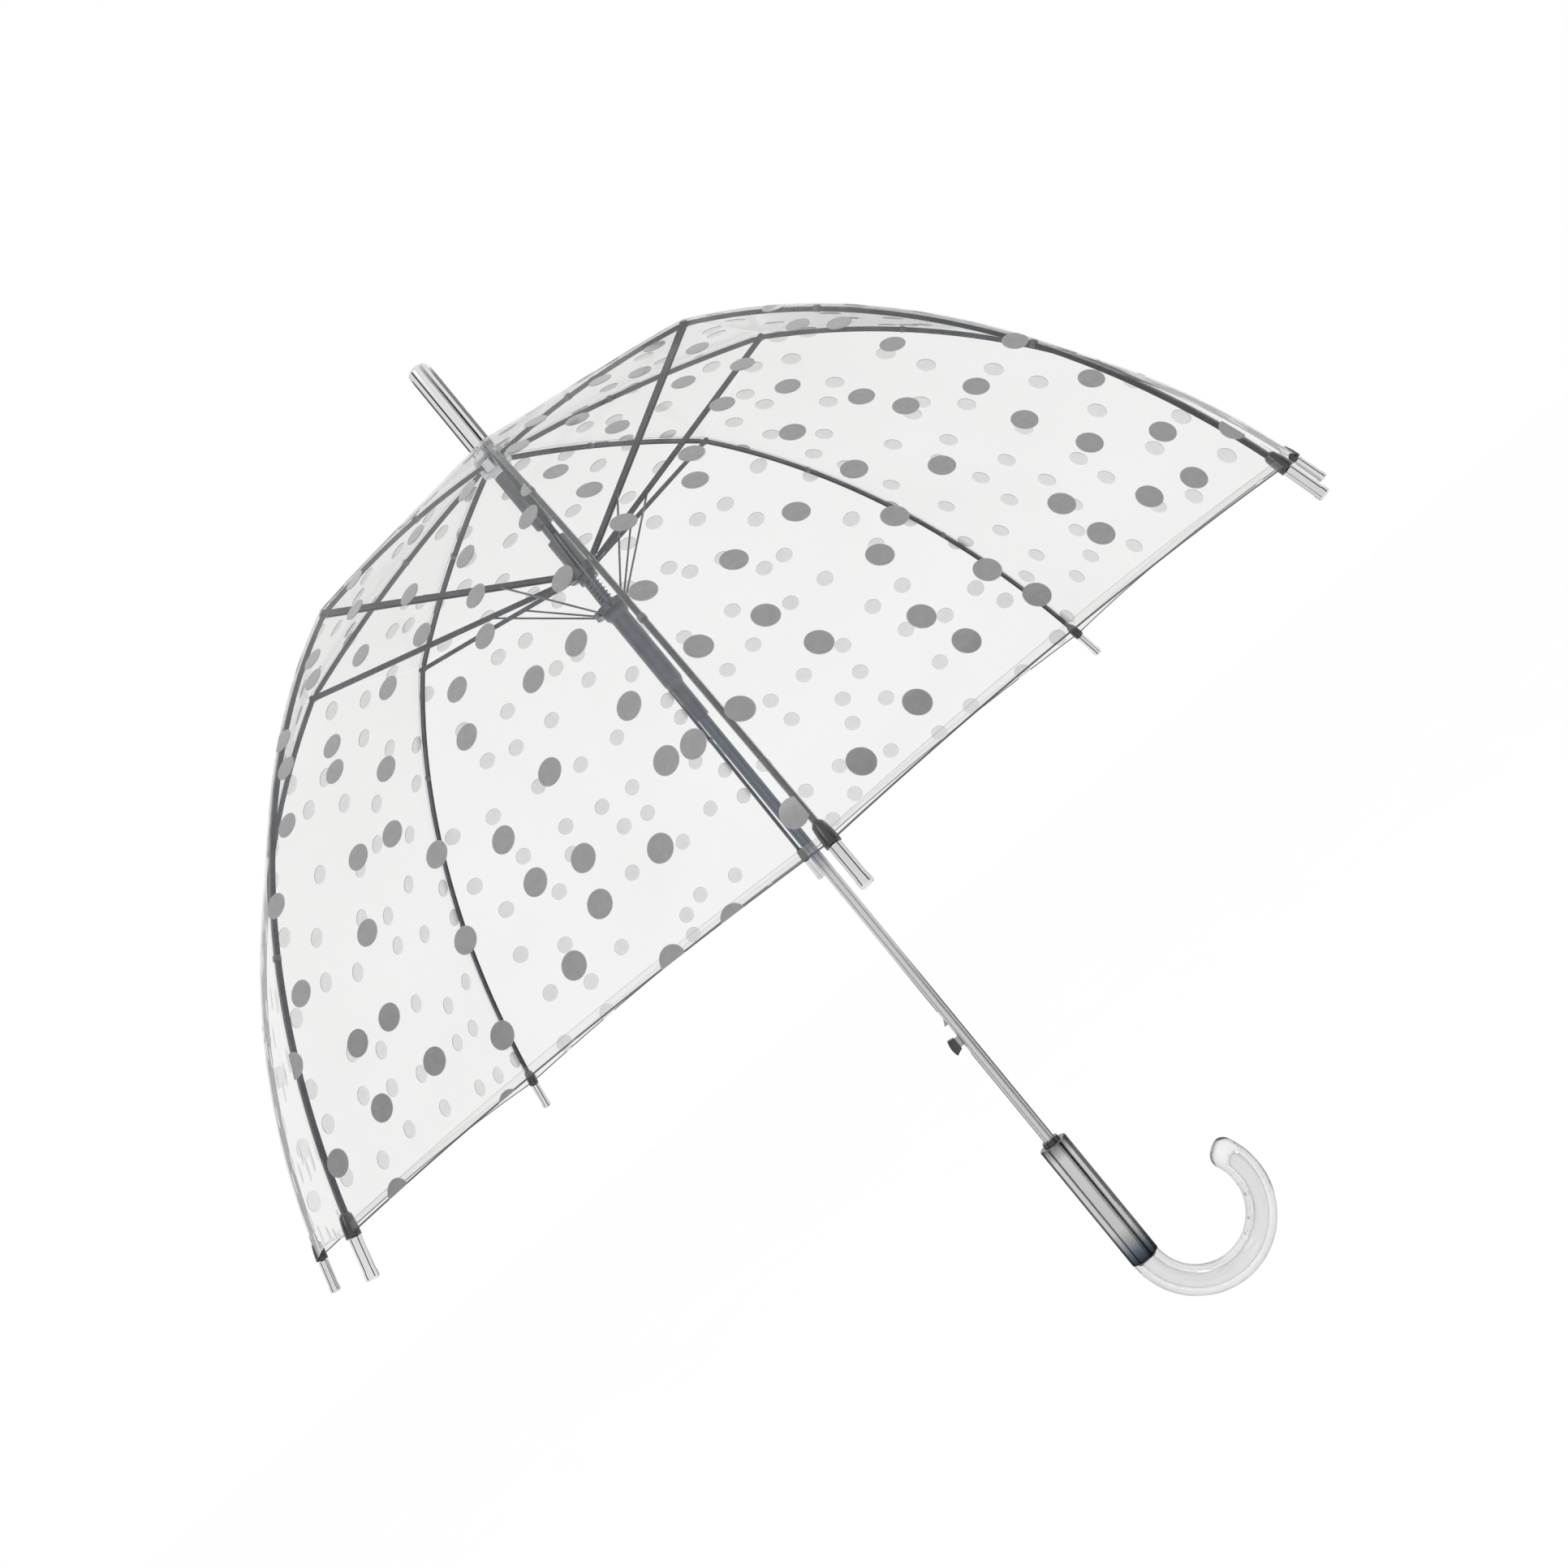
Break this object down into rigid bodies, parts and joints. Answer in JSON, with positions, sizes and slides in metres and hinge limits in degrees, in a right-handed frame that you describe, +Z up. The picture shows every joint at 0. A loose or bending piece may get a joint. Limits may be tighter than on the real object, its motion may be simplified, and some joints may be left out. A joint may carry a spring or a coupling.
{
  "type": "dome umbrella",
  "caption": "Clear dome stick umbrella with grey polka dots, slim ribs, sprung runners, press-button latch and a clear crook handle.",
  "frame": {"origin": "centre of the foot of the ferrule, on the shaft's axis", "axes": "+Z up the shaft out of the ferrule, +X the way the crook handle opens, -X the latch button"},
  "size_m": [0.8558, 0.8558, 0.8177],
  "materials": {
    "shaft_steel": "satin light grey coated steel tube",
    "chrome": "polished chrome plate",
    "rib_steel": "dark gunmetal plated pressed steel",
    "spring_wire": "bright spring wire",
    "latch_steel": "pressed spring steel",
    "film": "clear film with grey round dots",
    "hub_plastic": "translucent white moulded plastic",
    "runner_plastic": "pale grey moulded plastic",
    "black_plastic": "black moulded plastic",
    "clear_acrylic": "clear cast acrylic"
  },
  "bodies": {
    "umbrella": {"shaft": "shaft_steel", "ferrule": "chrome", "ferrule_tip": "chrome", "top_washer": "hub_plastic", "crown": "hub_plastic", "crown_sleeve": "runner_plastic", "crown_wire": "spring_wire", "canopy": "film", "handle_collar": "black_plastic", "handle_sleeve": "chrome", "handle_hook": "clear_acrylic"},
    "rib_1": {"rib_upper_1": "rib_steel"},
    "outer_1": {"rib_lower_1": "rib_steel", "tip_cap_1": "chrome"},
    "stretch_1": {"stretcher_1": "rib_steel"},
    "strut_1": {"link_1": "spring_wire"},
    "rib_2": {"rib_upper_2": "rib_steel"},
    "outer_2": {"rib_lower_2": "rib_steel", "tip_cap_2": "chrome"},
    "stretch_2": {"stretcher_2": "rib_steel"},
    "strut_2": {"link_2": "spring_wire"},
    "rib_3": {"rib_upper_3": "rib_steel"},
    "outer_3": {"rib_lower_3": "rib_steel", "tip_cap_3": "chrome"},
    "stretch_3": {"stretcher_3": "rib_steel"},
    "strut_3": {"link_3": "spring_wire"},
    "rib_4": {"rib_upper_4": "rib_steel"},
    "outer_4": {"rib_lower_4": "rib_steel", "tip_cap_4": "chrome"},
    "stretch_4": {"stretcher_4": "rib_steel"},
    "strut_4": {"link_4": "spring_wire"},
    "rib_5": {"rib_upper_5": "rib_steel"},
    "outer_5": {"rib_lower_5": "rib_steel", "tip_cap_5": "chrome"},
    "stretch_5": {"stretcher_5": "rib_steel"},
    "strut_5": {"link_5": "spring_wire"},
    "rib_6": {"rib_upper_6": "rib_steel"},
    "outer_6": {"rib_lower_6": "rib_steel", "tip_cap_6": "chrome"},
    "stretch_6": {"stretcher_6": "rib_steel"},
    "strut_6": {"link_6": "spring_wire"},
    "rib_7": {"rib_upper_7": "rib_steel"},
    "outer_7": {"rib_lower_7": "rib_steel", "tip_cap_7": "chrome"},
    "stretch_7": {"stretcher_7": "rib_steel"},
    "strut_7": {"link_7": "spring_wire"},
    "rib_8": {"rib_upper_8": "rib_steel"},
    "outer_8": {"rib_lower_8": "rib_steel", "tip_cap_8": "chrome"},
    "stretch_8": {"stretcher_8": "rib_steel"},
    "strut_8": {"link_8": "spring_wire"},
    "upper_runner": {"upper_runner": "runner_plastic", "runner_wire": "spring_wire", "opening_spring": "spring_wire"},
    "lower_runner": {"lower_runner": "runner_plastic"},
    "latch": {"latch_blade": "latch_steel", "latch_button": "black_plastic"}
  },
  "joints": [
    {"name": "fold", "type": "hinge", "parent": "umbrella", "child": "rib_1", "pos_m": [0, -0.0095, -0.009], "axis": [1, 0, 0], "range_deg": [0, 71], "stiffness_Nm_per_rad": 0.06, "springref_deg": -171.89, "deforming": ["canopy"]},
    {"name": "elbow_1", "type": "hinge", "parent": "rib_1", "child": "outer_1", "pos_m": [0, -0.1933, -0.0565], "axis": [1, 0, 0], "range_deg": [-40.02, 0]},
    {"name": "stretcher_pivot_1", "type": "hinge", "parent": "rib_1", "child": "stretch_1", "pos_m": [0, -0.1933, -0.0565], "axis": [1, 0, 0], "range_deg": [-142.02, 0]},
    {"name": "link_pivot_1", "type": "hinge", "parent": "stretch_1", "child": "strut_1", "pos_m": [0, -0.06856, -0.08874], "axis": [1, 0, 0], "range_deg": [0, 21.97]},
    {"name": "fold_2", "type": "hinge", "parent": "umbrella", "child": "rib_2", "pos_m": [0.00672, -0.00672, -0.009], "axis": [0.7071, 0.7071, 0], "range_deg": [0, 71], "stiffness_Nm_per_rad": 0.06, "springref_deg": -171.89},
    {"name": "elbow_2", "type": "hinge", "parent": "rib_2", "child": "outer_2", "pos_m": [0.13668, -0.13668, -0.0565], "axis": [0.7071, 0.7071, 0], "range_deg": [-40.02, 0]},
    {"name": "stretcher_pivot_2", "type": "hinge", "parent": "rib_2", "child": "stretch_2", "pos_m": [0.13668, -0.13668, -0.0565], "axis": [0.7071, 0.7071, 0], "range_deg": [-142.02, 0]},
    {"name": "link_pivot_2", "type": "hinge", "parent": "stretch_2", "child": "strut_2", "pos_m": [0.04848, -0.04848, -0.08874], "axis": [0.7071, 0.7071, 0], "range_deg": [0, 21.97]},
    {"name": "fold_3", "type": "hinge", "parent": "umbrella", "child": "rib_3", "pos_m": [0.0095, 0, -0.009], "axis": [0, 1, 0], "range_deg": [0, 71], "stiffness_Nm_per_rad": 0.06, "springref_deg": -171.89},
    {"name": "elbow_3", "type": "hinge", "parent": "rib_3", "child": "outer_3", "pos_m": [0.1933, 0, -0.0565], "axis": [0, 1, 0], "range_deg": [-40.02, 0]},
    {"name": "stretcher_pivot_3", "type": "hinge", "parent": "rib_3", "child": "stretch_3", "pos_m": [0.1933, 0, -0.0565], "axis": [0, 1, 0], "range_deg": [-142.02, 0]},
    {"name": "link_pivot_3", "type": "hinge", "parent": "stretch_3", "child": "strut_3", "pos_m": [0.06856, 0, -0.08874], "axis": [0, 1, 0], "range_deg": [0, 21.97]},
    {"name": "fold_4", "type": "hinge", "parent": "umbrella", "child": "rib_4", "pos_m": [0.00672, 0.00672, -0.009], "axis": [-0.7071, 0.7071, 0], "range_deg": [0, 71], "stiffness_Nm_per_rad": 0.06, "springref_deg": -171.89},
    {"name": "elbow_4", "type": "hinge", "parent": "rib_4", "child": "outer_4", "pos_m": [0.13668, 0.13668, -0.0565], "axis": [-0.7071, 0.7071, 0], "range_deg": [-40.02, 0]},
    {"name": "stretcher_pivot_4", "type": "hinge", "parent": "rib_4", "child": "stretch_4", "pos_m": [0.13668, 0.13668, -0.0565], "axis": [-0.7071, 0.7071, 0], "range_deg": [-142.02, 0]},
    {"name": "link_pivot_4", "type": "hinge", "parent": "stretch_4", "child": "strut_4", "pos_m": [0.04848, 0.04848, -0.08874], "axis": [-0.7071, 0.7071, 0], "range_deg": [0, 21.97]},
    {"name": "fold_5", "type": "hinge", "parent": "umbrella", "child": "rib_5", "pos_m": [0, 0.0095, -0.009], "axis": [-1, 0, 0], "range_deg": [0, 71], "stiffness_Nm_per_rad": 0.06, "springref_deg": -171.89},
    {"name": "elbow_5", "type": "hinge", "parent": "rib_5", "child": "outer_5", "pos_m": [0, 0.1933, -0.0565], "axis": [-1, 0, 0], "range_deg": [-40.02, 0]},
    {"name": "stretcher_pivot_5", "type": "hinge", "parent": "rib_5", "child": "stretch_5", "pos_m": [0, 0.1933, -0.0565], "axis": [-1, 0, 0], "range_deg": [-142.02, 0]},
    {"name": "link_pivot_5", "type": "hinge", "parent": "stretch_5", "child": "strut_5", "pos_m": [0, 0.06856, -0.08874], "axis": [-1, 0, 0], "range_deg": [0, 21.97]},
    {"name": "fold_6", "type": "hinge", "parent": "umbrella", "child": "rib_6", "pos_m": [-0.00672, 0.00672, -0.009], "axis": [-0.7071, -0.7071, 0], "range_deg": [0, 71], "stiffness_Nm_per_rad": 0.06, "springref_deg": -171.89},
    {"name": "elbow_6", "type": "hinge", "parent": "rib_6", "child": "outer_6", "pos_m": [-0.13668, 0.13668, -0.0565], "axis": [-0.7071, -0.7071, 0], "range_deg": [-40.02, 0]},
    {"name": "stretcher_pivot_6", "type": "hinge", "parent": "rib_6", "child": "stretch_6", "pos_m": [-0.13668, 0.13668, -0.0565], "axis": [-0.7071, -0.7071, 0], "range_deg": [-142.02, 0]},
    {"name": "link_pivot_6", "type": "hinge", "parent": "stretch_6", "child": "strut_6", "pos_m": [-0.04848, 0.04848, -0.08874], "axis": [-0.7071, -0.7071, 0], "range_deg": [0, 21.97]},
    {"name": "fold_7", "type": "hinge", "parent": "umbrella", "child": "rib_7", "pos_m": [-0.0095, 0, -0.009], "axis": [0, -1, 0], "range_deg": [0, 71], "stiffness_Nm_per_rad": 0.06, "springref_deg": -171.89},
    {"name": "elbow_7", "type": "hinge", "parent": "rib_7", "child": "outer_7", "pos_m": [-0.1933, 0, -0.0565], "axis": [0, -1, 0], "range_deg": [-40.02, 0]},
    {"name": "stretcher_pivot_7", "type": "hinge", "parent": "rib_7", "child": "stretch_7", "pos_m": [-0.1933, 0, -0.0565], "axis": [0, -1, 0], "range_deg": [-142.02, 0]},
    {"name": "link_pivot_7", "type": "hinge", "parent": "stretch_7", "child": "strut_7", "pos_m": [-0.06856, 0, -0.08874], "axis": [0, -1, 0], "range_deg": [0, 21.97]},
    {"name": "fold_8", "type": "hinge", "parent": "umbrella", "child": "rib_8", "pos_m": [-0.00672, -0.00672, -0.009], "axis": [0.7071, -0.7071, 0], "range_deg": [0, 71], "stiffness_Nm_per_rad": 0.06, "springref_deg": -171.89},
    {"name": "elbow_8", "type": "hinge", "parent": "rib_8", "child": "outer_8", "pos_m": [-0.13668, -0.13668, -0.0565], "axis": [0.7071, -0.7071, 0], "range_deg": [-40.02, 0]},
    {"name": "stretcher_pivot_8", "type": "hinge", "parent": "rib_8", "child": "stretch_8", "pos_m": [-0.13668, -0.13668, -0.0565], "axis": [0.7071, -0.7071, 0], "range_deg": [-142.02, 0]},
    {"name": "link_pivot_8", "type": "hinge", "parent": "stretch_8", "child": "strut_8", "pos_m": [-0.04848, -0.04848, -0.08874], "axis": [0.7071, -0.7071, 0], "range_deg": [0, 21.97]},
    {"name": "runner_pivot", "type": "hinge", "parent": "stretch_1", "child": "upper_runner", "pos_m": [0, -0.0095, -0.104], "axis": [1, 0, 0], "range_deg": [0, 71.02]},
    {"name": "runner_gap", "type": "slide", "parent": "upper_runner", "child": "lower_runner", "axis": [0, 0, 1], "range_m": [0, 0.01925], "deforming": ["opening_spring"]},
    {"name": "latch_press", "type": "slide", "parent": "umbrella", "child": "latch", "axis": [1, 0, 0], "range_m": [0, 0.0017], "stiffness_N_per_m": 400, "springref_m": -0.003}
  ],
  "couplings": [
    {"joint": "elbow_1", "follows": "fold", "ratio": -0.5634},
    {"joint": "stretcher_pivot_1", "follows": "fold", "ratio": -2},
    {"joint": "link_pivot_1", "follows": "fold", "ratio": 0.3091},
    {"joint": "fold_2", "follows": "fold", "ratio": 1},
    {"joint": "elbow_2", "follows": "fold", "ratio": -0.5634},
    {"joint": "stretcher_pivot_2", "follows": "fold", "ratio": -2},
    {"joint": "link_pivot_2", "follows": "fold", "ratio": 0.3091},
    {"joint": "fold_3", "follows": "fold", "ratio": 1},
    {"joint": "elbow_3", "follows": "fold", "ratio": -0.5634},
    {"joint": "stretcher_pivot_3", "follows": "fold", "ratio": -2},
    {"joint": "link_pivot_3", "follows": "fold", "ratio": 0.3091},
    {"joint": "fold_4", "follows": "fold", "ratio": 1},
    {"joint": "elbow_4", "follows": "fold", "ratio": -0.5634},
    {"joint": "stretcher_pivot_4", "follows": "fold", "ratio": -2},
    {"joint": "link_pivot_4", "follows": "fold", "ratio": 0.3091},
    {"joint": "fold_5", "follows": "fold", "ratio": 1},
    {"joint": "elbow_5", "follows": "fold", "ratio": -0.5634},
    {"joint": "stretcher_pivot_5", "follows": "fold", "ratio": -2},
    {"joint": "link_pivot_5", "follows": "fold", "ratio": 0.3091},
    {"joint": "fold_6", "follows": "fold", "ratio": 1},
    {"joint": "elbow_6", "follows": "fold", "ratio": -0.5634},
    {"joint": "stretcher_pivot_6", "follows": "fold", "ratio": -2},
    {"joint": "link_pivot_6", "follows": "fold", "ratio": 0.3091},
    {"joint": "fold_7", "follows": "fold", "ratio": 1},
    {"joint": "elbow_7", "follows": "fold", "ratio": -0.5634},
    {"joint": "stretcher_pivot_7", "follows": "fold", "ratio": -2},
    {"joint": "link_pivot_7", "follows": "fold", "ratio": 0.3091},
    {"joint": "fold_8", "follows": "fold", "ratio": 1},
    {"joint": "elbow_8", "follows": "fold", "ratio": -0.5634},
    {"joint": "stretcher_pivot_8", "follows": "fold", "ratio": -2},
    {"joint": "link_pivot_8", "follows": "fold", "ratio": 0.3091},
    {"joint": "runner_pivot", "follows": "fold", "ratio": 1},
    {"joint": "runner_gap", "follows": "fold", "m_per_rad": 0.01545}
  ]
}
